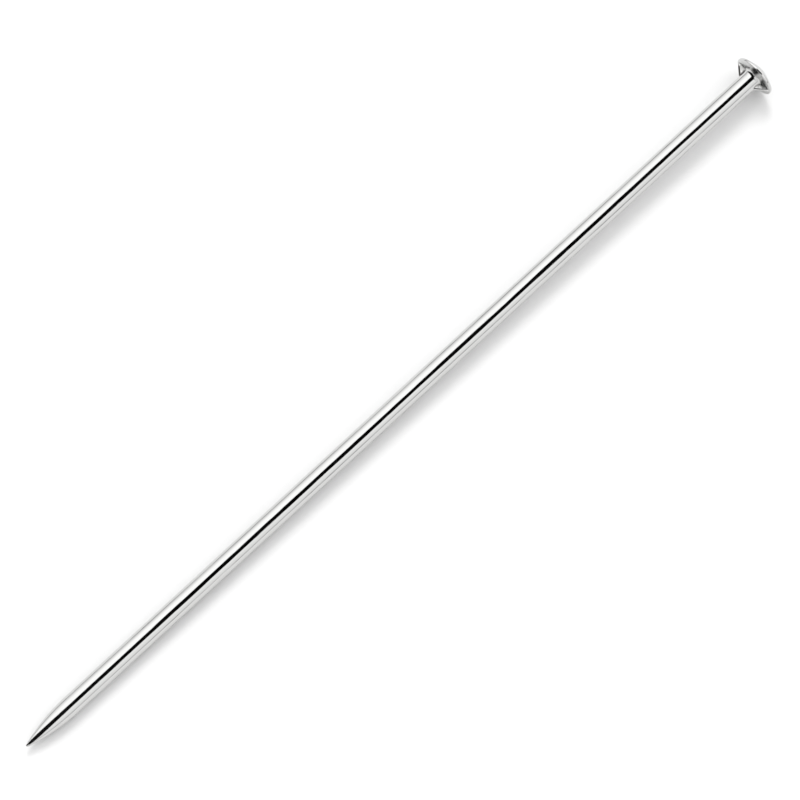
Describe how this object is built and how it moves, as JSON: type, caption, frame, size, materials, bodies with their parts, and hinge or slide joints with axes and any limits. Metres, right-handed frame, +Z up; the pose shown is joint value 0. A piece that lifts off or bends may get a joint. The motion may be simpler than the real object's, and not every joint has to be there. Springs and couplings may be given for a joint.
{
  "type": "head pin",
  "caption": "Straight steel sewing pin: round wire with a brimmed, low-domed head at one end and a slender ground point at the other.",
  "frame": {"origin": "on the surface that the pin lies on, under the middle of its box", "axes": "+X along the pin towards its head, +Z up from the surface, +Y across the pin in the plane of the two die fins"},
  "size_m": [0.03, 0.0014, 0.0014],
  "materials": {
    "bright_steel": "drawn wire, tumbled bright and nickel plated"
  },
  "bodies": {
    "root": {"pin": "bright_steel"}
  },
  "joints": []
}
